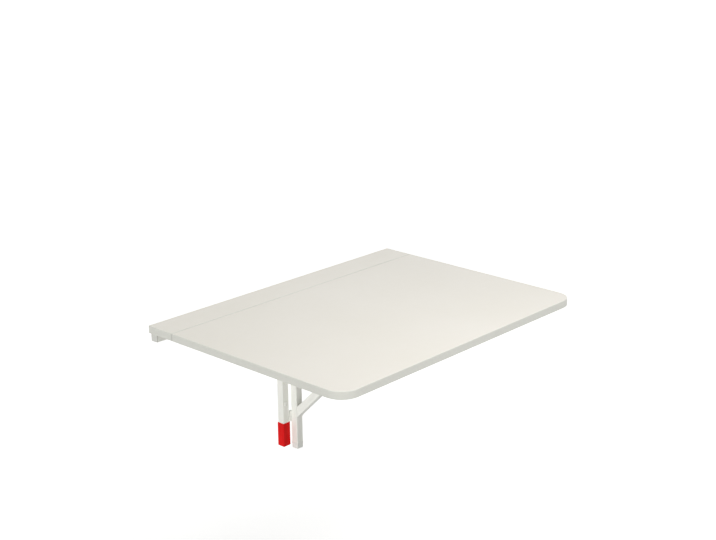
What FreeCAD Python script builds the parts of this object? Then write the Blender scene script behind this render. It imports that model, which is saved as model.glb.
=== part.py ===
"""Wall mounted drop leaf table: a shelf on a wall rail, a hinged leaf and a swinging gate that carries it.

Millimetres. The wall is the plane y = 0, the table stands out towards -Y, X runs along the wall and Z is up.
The origin is on the wall, at the middle of the width and at the height of the rail's screw holes.
"""

import FreeCAD, Part
import math
import os

# Whole table
TABLE_WIDTH = 800.0
TABLE_DEPTH = 600.0
OVERALL_HEIGHT = 435.5

# Boards
BOARD_THICKNESS = 18.0
CORNER_RADIUS = 45.0
SEAM_FROM_WALL = 80.0
SEAM_GAP = 1.2
BAND_THICKNESS = 1.5
BAND_ROUNDING = 1.0
SEAM_ROUNDING = 0.5

# Steel tube of the rail, the wall post and the gate
TUBE_SIZE = 20.0
TUBE_WALL = 1.5
TUBE_ROUNDING = 1.5

# Wall rail and the tabs that carry the shelf
RAIL_INSET = 6.0
TAB_WIDTH = 30.0
TAB_THICKNESS = 3.0
TAB_REACH = 46.0
INNER_TAB_X = 160.0
TAB_TO_HINGE = 10.0
TAB_CORNER = 4.0
TAB_HOLE_FROM_END = 10.0
TAB_HOLE_PITCH = 22.0

# Wall post
WALL_POST_X = -4.5
POST_END_ABOVE_FOOT = 9.5

# Screw holes towards the wall, and the snap caps that close the access holes in front of them
WALL_HOLE_DIAMETER = 5.5
ACCESS_HOLE_DIAMETER = 9.0
RAIL_HOLE_FROM_END = 90.0
INNER_RAIL_HOLE_X = 110.0
UPPER_POST_HOLE_Z = -60.0
LOWER_HOLE_ABOVE_FOOT = 122.5
SNAP_CAP_DIAMETER = 12.0
SNAP_CAP_HEIGHT = 2.8
SNAP_CAP_EDGE = 0.5
SNAP_STEM_LENGTH = 4.0
SNAP_STEM_WALL = 1.2

# Coloured end cap of the wall post
END_CAP_LENGTH = 61.0
END_CAP_WALL = 1.5
END_CAP_FLOOR = 2.0
END_CAP_ROUNDING = 1.2
END_CAP_LOWER_ROUNDING = 1.0
END_CAP_TONGUE = 16.0

# Plugs in the tube ends
PLUG_HEAD = 2.0
PLUG_DEPTH = 14.0
PLUG_WALL = 2.0
PLUG_PLAY = 0.1
POST_TOP_HEAD = 1.5
FOOT_HEIGHT = 16.0
FOOT_COLLAR_HEIGHT = 5.0
FOOT_COLLAR_PROUD = 0.8
FOOT_EDGE = 0.7

# Gate
GATE_TOP = -14.0
GATE_STANDOFF = 4.0
GATE_WALL_GAP = 0.5
BRACE_ABOVE_FOOT = 101.5
BRACE_ANGLE = 45.0
ARM_PAST_BRACE = 15.0

# Barrel hinges of the gate
BARREL_DIAMETER = 8.0
BARREL_TO_POST = 1.5
BARREL_TO_GATE = 0.5
BARREL_LENGTH = 13.0
BARREL_SADDLE = 6.0
GATE_PIN_DIAMETER = 4.0
GATE_PIN_PLAY = 0.05
GATE_PIN_RECESS = 1.0
GATE_PIN_CHAMFER = 0.5
WASHER_THICKNESS = 1.0
WASHER_PLAY = 0.15
LOWER_HINGE_ABOVE_CAP = 1.0
UPPER_HINGE_BOTTOM = -74.0

# Butt hinges of the leaf
HINGE_WIDTH = 60.0
HINGE_REACH = 27.0
HINGE_PLATE = 1.5
HINGE_FROM_END = 100.0
KNUCKLE_DIAMETER = 6.0
KNUCKLE_COUNT = 5
KNUCKLE_GAP = 0.4
KNUCKLE_DROP = 3.4
KNUCKLE_NOTCH = 0.5
HINGE_PIN_DIAMETER = 3.0
HINGE_PIN_PLAY = 0.05
HINGE_PIN_HEAD = 1.0
HINGE_PIN_HEAD_DIAMETER = 4.6
HINGE_SCREW_FROM_END = 10.0
HINGE_SCREW_FROM_TIP = 8.0
HINGE_SCREW_NEAR = 10.0
HINGE_CORNER = 4.0

# Countersunk screws
SCREW_DIAMETER = 3.5
SCREW_HEAD_DIAMETER = 6.6
SCREW_HEAD_HEIGHT = 1.5
SCREW_LENGTH = 14.0
SCREW_TIP = 3.0

# Rest block under the leaf
REST_GAP = 0.3
REST_LENGTH = 38.0
REST_FROM_ARM_END = 4.0
REST_LIP_WIDTH = 5.0
REST_LIP_DEPTH = 8.0
REST_RAMP_RUN = 14.0
REST_RAMP_RISE = 10.0
REST_RAMP_START = 4.0
REST_EAR_LENGTH = 14.0
REST_EAR_HEIGHT = 4.0
REST_EAR_WIDTH = 18.0
REST_EAR_CORNER = 4.0
REST_ROUNDING = 1.5

# Derived heights and places
HALF_WIDTH = TABLE_WIDTH / 2
BOARD_BOTTOM = TUBE_SIZE / 2
BOARD_TOP = BOARD_BOTTOM + BOARD_THICKNESS
RAIL_BOTTOM = -TUBE_SIZE / 2
SHELF_FRONT = -SEAM_FROM_WALL + SEAM_GAP / 2
LEAF_BACK = -SEAM_FROM_WALL - SEAM_GAP / 2
GATE_BOTTOM = BOARD_TOP - OVERALL_HEIGHT
WALL_POST_BOTTOM = GATE_BOTTOM + POST_END_ABOVE_FOOT
END_CAP_TOP = WALL_POST_BOTTOM + END_CAP_LENGTH
WALL_POST_LEFT = WALL_POST_X - TUBE_SIZE / 2
WALL_POST_RIGHT = WALL_POST_X + TUBE_SIZE / 2
GATE_BACK = -TUBE_SIZE - GATE_STANDOFF
GATE_FRONT = GATE_BACK - TUBE_SIZE
GATE_AXIS_X = WALL_POST_RIGHT + BARREL_TO_POST + BARREL_DIAMETER / 2
GATE_AXIS_Y = GATE_BACK + BARREL_TO_GATE + BARREL_DIAMETER / 2
GATE_RIGHT = GATE_AXIS_X - GATE_AXIS_Y - FOOT_COLLAR_PROUD - GATE_WALL_GAP
GATE_LEFT = GATE_RIGHT - TUBE_SIZE
GATE_TUBE_BOTTOM = GATE_BOTTOM + FOOT_HEIGHT
ARM_BOTTOM = GATE_TOP - TUBE_SIZE
BRACE_ON_POST_Z = GATE_BOTTOM + BRACE_ABOVE_FOOT
BRACE_SLOPE = math.radians(BRACE_ANGLE)
BRACE_UNDER_ARM_Y = GATE_FRONT - (ARM_BOTTOM - BRACE_ON_POST_Z) / math.tan(BRACE_SLOPE)
ARM_END = BRACE_UNDER_ARM_Y - TUBE_SIZE / 2 / math.sin(BRACE_SLOPE) - ARM_PAST_BRACE
HINGE_AXIS_Z = BOARD_BOTTOM - KNUCKLE_DROP
REST_SEAT = GATE_TOP + REST_GAP

X_AXIS = FreeCAD.Vector(1, 0, 0)
Y_AXIS = FreeCAD.Vector(0, 1, 0)
Z_AXIS = FreeCAD.Vector(0, 0, 1)
BEYOND = 5.0
CLOSE = 0.01


def point(x, y, z):
    return FreeCAD.Vector(x, y, z)


def box(x_span, y_span, z_span):
    """A plain block between three pairs of limits."""
    low = point(min(x_span), min(y_span), min(z_span))
    high = point(max(x_span), max(y_span), max(z_span))
    size = high - low
    return Part.makeBox(size.x, size.y, size.z, low)


def rod(diameter, start, direction, length):
    """A round bar from a start point along a direction."""
    return Part.makeCylinder(diameter / 2, length, start, direction)


def edges_along(solid, axis):
    """The straight edges that run parallel to an axis."""
    straight = [e for e in solid.Edges if isinstance(e.Curve, (Part.Line, Part.LineSegment))]
    return [e for e in straight if abs(e.tangentAt(e.FirstParameter).dot(axis)) > 1 - CLOSE]


def edges_at_height(solid, z):
    """The edges that lie in a level plane."""
    level = [e for e in solid.Edges if e.BoundBox.ZLength < CLOSE]
    return [e for e in level if abs(e.BoundBox.ZMin - z) < CLOSE]


def bar(x_span, y_span, z_span, axis, rounding):
    """A block whose edges along one axis are rounded."""
    solid = box(x_span, y_span, z_span)
    return solid.makeFillet(rounding, edges_along(solid, axis))


def shrunk(span, amount):
    return (min(span) + amount, max(span) - amount)


def grown(span, amount):
    return (min(span) - amount, max(span) + amount)


def inside_spans(spans, axis, wall):
    """The limits of a tube's hollow, running past both of its ends."""
    along = (axis.x, axis.y, axis.z)
    return [grown(s, BEYOND) if a else shrunk(s, wall) for s, a in zip(spans, along)]


def tube(x_span, y_span, z_span, axis):
    """A rectangular steel tube along an axis, open at both ends."""
    spans = [x_span, y_span, z_span]
    outer = bar(x_span, y_span, z_span, axis, TUBE_ROUNDING)
    return outer.cut(box(*inside_spans(spans, axis, TUBE_WALL)))


def group(solids):
    return Part.makeCompound(solids)


# Boards


def board_outline(half_width, back, front, radius, z):
    """A level face with square back corners and two rounded front corners."""
    lean = radius * (1 - math.sqrt(0.5))
    back_left = point(-half_width, back, z)
    back_right = point(half_width, back, z)
    left_start = point(-half_width, front + radius, z)
    left_middle = point(-half_width + lean, front + lean, z)
    left_end = point(-half_width + radius, front, z)
    right_start = point(half_width - radius, front, z)
    right_middle = point(half_width - lean, front + lean, z)
    right_end = point(half_width, front + radius, z)
    curves = [
        Part.LineSegment(back_left, left_start),
        Part.Arc(left_start, left_middle, left_end),
        Part.LineSegment(left_end, right_start),
        Part.Arc(right_start, right_middle, right_end),
        Part.LineSegment(right_end, back_right),
        Part.LineSegment(back_right, back_left),
    ]
    return Part.Face(Part.Wire([c.toShape() for c in curves]))


def rounded_rim(slab, back):
    """The slab with its upper and lower outer edges rounded, apart from the back ones."""
    rim = edges_at_height(slab, BOARD_TOP) + edges_at_height(slab, BOARD_BOTTOM)
    outer = [e for e in rim if abs(e.CenterOfMass.y - back) > BAND_THICKNESS]
    return slab.makeFillet(BAND_ROUNDING, outer)


def leaf_core_face(back, z):
    """The outline of the leaf's core, a band's thickness inside the finished edge."""
    half_width = HALF_WIDTH - BAND_THICKNESS
    front = -TABLE_DEPTH + BAND_THICKNESS
    return board_outline(half_width, back, front, CORNER_RADIUS - BAND_THICKNESS, z)


def leaf_board(screws):
    """The leaf's core, with the screws' pilot holes in its underside."""
    face = leaf_core_face(LEAF_BACK - BAND_THICKNESS, BOARD_BOTTOM)
    return face.extrude(Z_AXIS * BOARD_THICKNESS).cut(screws)


def seam_band(half_width, seam_y, inner_y):
    """A straight strip along the seam, rounded where it faces the other board."""
    strip = box((-half_width, half_width), (seam_y, inner_y), (BOARD_BOTTOM, BOARD_TOP))
    facing = [e for e in edges_along(strip, X_AXIS) if abs(e.CenterOfMass.y - seam_y) < CLOSE]
    return strip.makeFillet(SEAM_ROUNDING, facing)


def leaf_edge_bands():
    """One band round both sides and the front, and one along the seam."""
    face = board_outline(HALF_WIDTH, LEAF_BACK, -TABLE_DEPTH, CORNER_RADIUS, BOARD_BOTTOM)
    slab = rounded_rim(face.extrude(Z_AXIS * BOARD_THICKNESS), LEAF_BACK)
    inner = leaf_core_face(LEAF_BACK + BEYOND, BOARD_BOTTOM - BEYOND)
    wrap = slab.cut(inner.extrude(Z_AXIS * (BOARD_THICKNESS + 2 * BEYOND)))
    seam = seam_band(HALF_WIDTH - BAND_THICKNESS, LEAF_BACK, LEAF_BACK - BAND_THICKNESS)
    return group([wrap, seam])


def shelf_board(screws):
    """The fixed strip's core, against the wall."""
    half_width = HALF_WIDTH - BAND_THICKNESS
    span = (SHELF_FRONT + BAND_THICKNESS, 0)
    return box((-half_width, half_width), span, (BOARD_BOTTOM, BOARD_TOP)).cut(screws)


def shelf_edge_bands():
    """A band on each end of the strip and one along the seam."""
    bands = [seam_band(HALF_WIDTH, SHELF_FRONT, SHELF_FRONT + BAND_THICKNESS)]
    for side in (-1, 1):
        span = (side * (HALF_WIDTH - BAND_THICKNESS), side * HALF_WIDTH)
        depth = (SHELF_FRONT + BAND_THICKNESS, 0)
        strip = box(span, depth, (BOARD_BOTTOM, BOARD_TOP))
        outer = [e for e in edges_along(strip, Y_AXIS) if abs(abs(e.CenterOfMass.x) - HALF_WIDTH) < CLOSE]
        bands.append(strip.makeFillet(BAND_ROUNDING, outer))
    return group(bands)


# Screws, plugs and caps


def countersunk_screw(x, y, z):
    """A screw driven upwards, its head's lower face at the given height."""
    radius = SCREW_DIAMETER / 2
    head = SCREW_HEAD_DIAMETER / 2
    corners = [
        point(0, 0, 0),
        point(head, 0, 0),
        point(radius, 0, SCREW_HEAD_HEIGHT),
        point(radius, 0, SCREW_LENGTH - SCREW_TIP),
        point(0, 0, SCREW_LENGTH),
        point(0, 0, 0),
    ]
    profile = Part.Face(Part.makePolygon(corners))
    solid = profile.revolve(point(0, 0, 0), Z_AXIS, 360)
    solid.translate(point(x, y, z))
    return solid


def snap_cap(x, y, z):
    """A domed cap with a hollow stem, pushed into an access hole in a front wall."""
    radius = SNAP_CAP_DIAMETER / 2
    stem = ACCESS_HOLE_DIAMETER / 2 - PLUG_PLAY
    dome = Part.makeCylinder(radius, SNAP_CAP_HEIGHT, point(x, y, z), -Y_AXIS)
    rim = [e for e in dome.Edges if abs(e.CenterOfMass.y - (y - SNAP_CAP_HEIGHT)) < CLOSE]
    dome = dome.makeFillet(SNAP_CAP_HEIGHT - SNAP_CAP_EDGE, rim)
    shank = Part.makeCylinder(stem, SNAP_STEM_LENGTH, point(x, y, z), Y_AXIS)
    hollow = Part.makeCylinder(stem - SNAP_STEM_WALL, SNAP_STEM_LENGTH, point(x, y, z), Y_AXIS)
    return dome.fuse(shank.cut(hollow))


def plug_body(spans, axis, side, end, depth):
    """The hollow part of a plug that fits inside a tube, from the tube's end inwards."""
    along = (axis.x, axis.y, axis.z)
    outer = [
        (end, end - side * depth) if a else shrunk(s, TUBE_WALL + PLUG_PLAY)
        for s, a in zip(spans, along)
    ]
    inner = [
        (end + side * BEYOND, end - side * (depth + BEYOND)) if a else shrunk(s, PLUG_WALL)
        for s, a in zip(outer, along)
    ]
    return box(*outer).cut(box(*inner))


def tube_plug(spans, axis, side, end, head):
    """An end plug: a flat head that covers the tube's end and a hollow body inside it."""
    along = (axis.x, axis.y, axis.z)
    limits = [(end, end + side * head) if a else s for s, a in zip(spans, along)]
    lid = bar(*limits, axis, TUBE_ROUNDING)
    return lid.fuse(plug_body(spans, axis, side, end, PLUG_DEPTH))


# Wall rail and wall post

RAIL_SPAN_Y = (-TUBE_SIZE, 0)
RAIL_SPAN_Z = (RAIL_BOTTOM, BOARD_BOTTOM)
RAIL_TUBE_HALF = HALF_WIDTH - RAIL_INSET - PLUG_HEAD
OUTER_RAIL_HOLE_X = HALF_WIDTH - RAIL_HOLE_FROM_END
RAIL_HOLES_X = (-OUTER_RAIL_HOLE_X, -INNER_RAIL_HOLE_X, INNER_RAIL_HOLE_X, OUTER_RAIL_HOLE_X)
POST_HOLES_Z = (UPPER_POST_HOLE_Z, GATE_BOTTOM + LOWER_HOLE_ABOVE_FOOT)
POST_SPANS = [(WALL_POST_LEFT, WALL_POST_RIGHT), (-TUBE_SIZE, 0), (WALL_POST_BOTTOM, RAIL_BOTTOM)]


def wall_hole(x, z):
    """A screw hole in the wall side of a tube, and the access hole opposite it."""
    middle = point(x, -TUBE_SIZE / 2, z)
    screw = rod(WALL_HOLE_DIAMETER, middle, Y_AXIS, TUBE_SIZE)
    access = rod(ACCESS_HOLE_DIAMETER, middle, -Y_AXIS, TUBE_SIZE)
    return [screw, access]


def wall_rail():
    rail = tube((-RAIL_TUBE_HALF, RAIL_TUBE_HALF), RAIL_SPAN_Y, RAIL_SPAN_Z, X_AXIS)
    holes = [h for x in RAIL_HOLES_X for h in wall_hole(x, 0)]
    return rail.cut(holes)


def rail_end_plug(side):
    spans = [(-RAIL_TUBE_HALF, RAIL_TUBE_HALF), RAIL_SPAN_Y, RAIL_SPAN_Z]
    return tube_plug(spans, X_AXIS, side, side * RAIL_TUBE_HALF, PLUG_HEAD)


def rail_hole_caps():
    return group([snap_cap(x, -TUBE_SIZE, 0) for x in RAIL_HOLES_X])


def wall_post():
    holes = [h for z in POST_HOLES_Z for h in wall_hole(WALL_POST_X, z)]
    return tube(*POST_SPANS, Z_AXIS).cut(holes)


def post_hole_caps():
    return group([snap_cap(WALL_POST_X, -TUBE_SIZE, z) for z in POST_HOLES_Z])


def post_end_cap():
    """A sleeve round three sides of the post's lower end, closed below, with a tongue up inside the tube."""
    x_span = grown((WALL_POST_LEFT, WALL_POST_RIGHT), END_CAP_WALL)
    z_span = (WALL_POST_BOTTOM - END_CAP_FLOOR, END_CAP_TOP)
    block = box(x_span, (-TUBE_SIZE - END_CAP_WALL, 0), z_span)
    front = [e for e in edges_along(block, Z_AXIS) if e.CenterOfMass.y < -TUBE_SIZE]
    shell = block.makeFillet(END_CAP_ROUNDING, front)
    lower = [e for e in edges_at_height(shell, min(z_span)) if e.CenterOfMass.y < -CLOSE]
    shell = shell.makeFillet(END_CAP_LOWER_ROUNDING, lower)
    seat_z = (WALL_POST_BOTTOM, END_CAP_TOP + BEYOND)
    seat = box((WALL_POST_LEFT, WALL_POST_RIGHT), (-TUBE_SIZE, BEYOND), seat_z)
    return shell.cut(seat).fuse(plug_body(POST_SPANS, Z_AXIS, -1, WALL_POST_BOTTOM, END_CAP_TONGUE))


# Tabs under the shelf

HINGE_X = HALF_WIDTH - HINGE_FROM_END
OUTER_TAB_X = HINGE_X + HINGE_WIDTH / 2 + TAB_TO_HINGE + TAB_WIDTH / 2
TAB_PLACES = {"far_left": -OUTER_TAB_X, "left": -INNER_TAB_X, "right": INNER_TAB_X, "far_right": OUTER_TAB_X}


def tab_screw_places(x):
    first = -TUBE_SIZE - TAB_REACH + TAB_HOLE_FROM_END
    return [(x, first), (x, first + TAB_HOLE_PITCH)]


def shelf_tab(x, screws):
    """A flat steel tab on the rail's front, screwed to the shelf from below."""
    x_span = (x - TAB_WIDTH / 2, x + TAB_WIDTH / 2)
    y_span = (-TUBE_SIZE - TAB_REACH, -TUBE_SIZE)
    tab = box(x_span, y_span, (BOARD_BOTTOM - TAB_THICKNESS, BOARD_BOTTOM))
    outer = [e for e in edges_along(tab, Z_AXIS) if e.CenterOfMass.y < -TUBE_SIZE - TAB_REACH / 2]
    return tab.makeFillet(TAB_CORNER, outer).cut(screws)


def tab_screws():
    height = BOARD_BOTTOM - TAB_THICKNESS
    return [countersunk_screw(x, y, height) for tab in TAB_PLACES.values() for x, y in tab_screw_places(tab)]


# Butt hinges under the seam

KNUCKLE_PITCH = HINGE_WIDTH / KNUCKLE_COUNT
HINGE_PLATE_BOTTOM = BOARD_BOTTOM - HINGE_PLATE
HINGE_PLACES = {"left": -HINGE_X, "middle": 0.0, "right": HINGE_X}


def knuckle_span(x, index):
    start = x - HINGE_WIDTH / 2 + index * KNUCKLE_PITCH
    return (start + KNUCKLE_GAP / 2, start + KNUCKLE_PITCH - KNUCKLE_GAP / 2)


def hinge_plate(x, side):
    """One plate of a hinge, on the wall's side (+1) or the leaf's side (-1), up to the knuckles' notch."""
    notch = KNUCKLE_DIAMETER / 2 + KNUCKLE_NOTCH
    near = -SEAM_FROM_WALL + side * notch
    far = -SEAM_FROM_WALL + side * HINGE_REACH
    x_span = (x - HINGE_WIDTH / 2, x + HINGE_WIDTH / 2)
    plate = box(x_span, (near, far), (HINGE_PLATE_BOTTOM, BOARD_BOTTOM))
    outer = [e for e in edges_along(plate, Z_AXIS) if abs(e.CenterOfMass.y - far) < CLOSE]
    return plate.makeFillet(HINGE_CORNER, outer)


def hinge_half(x, side, knuckles, bore, screws):
    """A plate with its rolled knuckles, bored for the pin and countersunk for its screws."""
    solid = hinge_plate(x, side)
    notch = KNUCKLE_DIAMETER / 2 + KNUCKLE_NOTCH
    edge = (-SEAM_FROM_WALL + side * SEAM_GAP / 2, -SEAM_FROM_WALL + side * notch)
    for index in knuckles:
        span = knuckle_span(x, index)
        start = point(span[0], -SEAM_FROM_WALL, HINGE_AXIS_Z)
        barrel = rod(KNUCKLE_DIAMETER, start, X_AXIS, span[1] - span[0])
        tongue = box(span, edge, (HINGE_PLATE_BOTTOM, BOARD_BOTTOM))
        solid = solid.fuse([barrel, tongue])
    start = point(x - HINGE_WIDTH, -SEAM_FROM_WALL, HINGE_AXIS_Z)
    return solid.removeSplitter().cut(rod(bore, start, X_AXIS, 2 * HINGE_WIDTH)).cut(screws)


def hinge_base(x, screws):
    """The half on the shelf: the odd knuckles, tight on the pin."""
    return hinge_half(x, 1, range(0, KNUCKLE_COUNT, 2), HINGE_PIN_DIAMETER, screws)


def hinge_flap(x, screws):
    """The half on the leaf: the even knuckles, free on the pin."""
    return hinge_half(x, -1, range(1, KNUCKLE_COUNT, 2), HINGE_PIN_DIAMETER + 2 * HINGE_PIN_PLAY, screws)


def hinge_pin(x):
    """A straight pin with a low head at each end."""
    middle = point(x, -SEAM_FROM_WALL, HINGE_AXIS_Z)
    half = X_AXIS * (HINGE_WIDTH - KNUCKLE_GAP) / 2
    shaft = rod(HINGE_PIN_DIAMETER, middle - half, X_AXIS, 2 * half.Length)
    left_head = rod(HINGE_PIN_HEAD_DIAMETER, middle - half, -X_AXIS, HINGE_PIN_HEAD)
    right_head = rod(HINGE_PIN_HEAD_DIAMETER, middle + half, X_AXIS, HINGE_PIN_HEAD)
    return shaft.fuse([left_head, right_head])


def hinge_screws(side):
    """Three staggered screws through each of the plates on one side of the seam."""
    pitch = HINGE_WIDTH / 2 - HINGE_SCREW_FROM_END
    outer = HINGE_REACH - HINGE_SCREW_FROM_TIP
    rows = ((-1, outer), (0, HINGE_SCREW_NEAR), (1, outer))
    return [
        countersunk_screw(x + step * pitch, -SEAM_FROM_WALL + side * away, HINGE_PLATE_BOTTOM)
        for x in HINGE_PLACES.values()
        for step, away in rows
    ]


# Gate hinges

GATE_HINGES = {"upper": UPPER_HINGE_BOTTOM, "lower": END_CAP_TOP + LOWER_HINGE_ABOVE_CAP}


def barrel(bottom, bore):
    start = point(GATE_AXIS_X, GATE_AXIS_Y, bottom)
    hole = rod(bore, start, Z_AXIS, BARREL_LENGTH)
    return rod(BARREL_DIAMETER, start, Z_AXIS, BARREL_LENGTH), hole


def gate_hinge_base(bottom):
    """The lower barrel, on a saddle that is welded to the wall post's side."""
    shell, hole = barrel(bottom, GATE_PIN_DIAMETER)
    saddle_y = (GATE_AXIS_Y - BARREL_SADDLE / 2, GATE_AXIS_Y + BARREL_SADDLE / 2)
    saddle = box((WALL_POST_RIGHT, GATE_AXIS_X), saddle_y, (bottom, bottom + BARREL_LENGTH))
    return shell.fuse(saddle).removeSplitter().cut(hole)


def gate_hinge_sleeve(bottom):
    """The upper barrel, on a saddle that is welded to the gate post's back."""
    start = bottom + BARREL_LENGTH + WASHER_THICKNESS
    shell, hole = barrel(start, GATE_PIN_DIAMETER + 2 * GATE_PIN_PLAY)
    saddle_x = (GATE_LEFT, GATE_AXIS_X + BARREL_SADDLE / 2)
    saddle = box(saddle_x, (GATE_BACK, GATE_AXIS_Y), (start, start + BARREL_LENGTH))
    return shell.fuse(saddle).removeSplitter().cut(hole)


def gate_hinge_pin(bottom):
    length = 2 * BARREL_LENGTH + WASHER_THICKNESS - GATE_PIN_RECESS
    pin = rod(GATE_PIN_DIAMETER, point(GATE_AXIS_X, GATE_AXIS_Y, bottom), Z_AXIS, length)
    top = edges_at_height(pin, bottom + length)
    return pin.makeChamfer(GATE_PIN_CHAMFER, top)


def gate_hinge_washer(bottom):
    start = point(GATE_AXIS_X, GATE_AXIS_Y, bottom + BARREL_LENGTH)
    hole = rod(GATE_PIN_DIAMETER + 2 * WASHER_PLAY, start, Z_AXIS, WASHER_THICKNESS)
    return rod(BARREL_DIAMETER, start, Z_AXIS, WASHER_THICKNESS).cut(hole)


# Gate frame

GATE_SPAN_X = (GATE_LEFT, GATE_RIGHT)
GATE_POST_SPANS = [GATE_SPAN_X, (GATE_FRONT, GATE_BACK), (GATE_TUBE_BOTTOM, GATE_TOP)]
GATE_ARM_SPANS = [GATE_SPAN_X, (ARM_END, GATE_FRONT), (ARM_BOTTOM, GATE_TOP)]


def gate_post():
    return tube(*GATE_POST_SPANS, Z_AXIS)


def gate_arm():
    return tube(*GATE_ARM_SPANS, Y_AXIS)


def gate_brace():
    """A slanted tube, cut level under the arm and upright against the post."""
    spare = 2 * TUBE_SIZE
    length = (ARM_BOTTOM - BRACE_ON_POST_Z) / math.sin(BRACE_SLOPE) + spare
    y_span = (GATE_FRONT - length, GATE_FRONT + spare)
    z_span = (BRACE_ON_POST_Z - TUBE_SIZE / 2, BRACE_ON_POST_Z + TUBE_SIZE / 2)
    brace = tube(GATE_SPAN_X, y_span, z_span, Y_AXIS)
    brace.rotate(point(0, GATE_FRONT, BRACE_ON_POST_Z), X_AXIS, -BRACE_ANGLE)
    keep = box(GATE_SPAN_X, (GATE_FRONT, GATE_FRONT - length), (ARM_BOTTOM, ARM_BOTTOM - length))
    return brace.common(keep)


def gate_post_cap():
    return tube_plug(GATE_POST_SPANS, Z_AXIS, 1, GATE_TOP, POST_TOP_HEAD)


def gate_arm_cap():
    return tube_plug(GATE_ARM_SPANS, Y_AXIS, -1, ARM_END, PLUG_HEAD)


def gate_post_foot():
    """A deep foot with a raised collar where it meets the tube."""
    spans = [GATE_SPAN_X, (GATE_FRONT, GATE_BACK)]
    block = bar(*spans, (GATE_BOTTOM, GATE_TUBE_BOTTOM), Z_AXIS, TUBE_ROUNDING)
    block = block.makeFillet(FOOT_EDGE, edges_at_height(block, GATE_BOTTOM))
    proud = [grown(s, FOOT_COLLAR_PROUD) for s in spans]
    collar_z = (GATE_TUBE_BOTTOM - FOOT_COLLAR_HEIGHT, GATE_TUBE_BOTTOM)
    collar = bar(*proud, collar_z, Z_AXIS, TUBE_ROUNDING + FOOT_COLLAR_PROUD)
    rims = edges_at_height(collar, min(collar_z)) + edges_at_height(collar, max(collar_z))
    collar = collar.makeChamfer(FOOT_EDGE, rims)
    body = plug_body(GATE_POST_SPANS, Z_AXIS, -1, GATE_TUBE_BOTTOM, PLUG_DEPTH)
    return block.fuse([collar, body])


# Rest block under the leaf

REST_SPAN_Y = (ARM_END + REST_FROM_ARM_END, ARM_END + REST_FROM_ARM_END + REST_LENGTH)
REST_SCREW_X = (GATE_LEFT + GATE_RIGHT) / 2


def rest_profile():
    """The section across the arm: a stop lip, the seat and a ramp on the side the arm comes from."""
    lip_right = GATE_LEFT - REST_GAP
    lip_left = lip_right - REST_LIP_WIDTH
    ramp_start = GATE_RIGHT - REST_RAMP_START
    ramp_end = ramp_start + REST_RAMP_RUN
    back = max(REST_SPAN_Y)
    places = [
        (lip_left, BOARD_BOTTOM),
        (lip_left, REST_SEAT - REST_LIP_DEPTH),
        (lip_right, REST_SEAT - REST_LIP_DEPTH),
        (lip_right, REST_SEAT),
        (ramp_start, REST_SEAT),
        (ramp_end, REST_SEAT + REST_RAMP_RISE),
        (ramp_end, BOARD_BOTTOM),
    ]
    corners = [point(x, back, z) for x, z in places]
    return Part.Face(Part.makePolygon(corners + corners[:1]))


def rest_ear(y_span):
    """A flat ear for one screw."""
    x_span = (REST_SCREW_X - REST_EAR_WIDTH / 2, REST_SCREW_X + REST_EAR_WIDTH / 2)
    ear = box(x_span, y_span, (BOARD_BOTTOM - REST_EAR_HEIGHT, BOARD_BOTTOM))
    tip = max(y_span, key=lambda y: abs(y - sum(REST_SPAN_Y) / 2))
    outer = [e for e in edges_along(ear, Z_AXIS) if abs(e.CenterOfMass.y - tip) < CLOSE]
    return ear.makeFillet(REST_EAR_CORNER, outer)


def rest_screw_places():
    offset = REST_EAR_LENGTH / 2
    return [(REST_SCREW_X, min(REST_SPAN_Y) - offset), (REST_SCREW_X, max(REST_SPAN_Y) + offset)]


def rest_screws():
    height = BOARD_BOTTOM - REST_EAR_HEIGHT
    return [countersunk_screw(x, y, height) for x, y in rest_screw_places()]


def rest_block(screws):
    """The moulded block that the gate's arm slides under."""
    block = rest_profile().extrude(point(0, -REST_LENGTH, 0))
    lower = [e for e in edges_along(block, Y_AXIS) if e.CenterOfMass.z < REST_SEAT - REST_GAP]
    block = block.makeFillet(REST_ROUNDING, lower)
    front = (min(REST_SPAN_Y) - REST_EAR_LENGTH, min(REST_SPAN_Y))
    back = (max(REST_SPAN_Y), max(REST_SPAN_Y) + REST_EAR_LENGTH)
    return block.fuse([rest_ear(front), rest_ear(back)]).removeSplitter().cut(screws)


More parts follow.
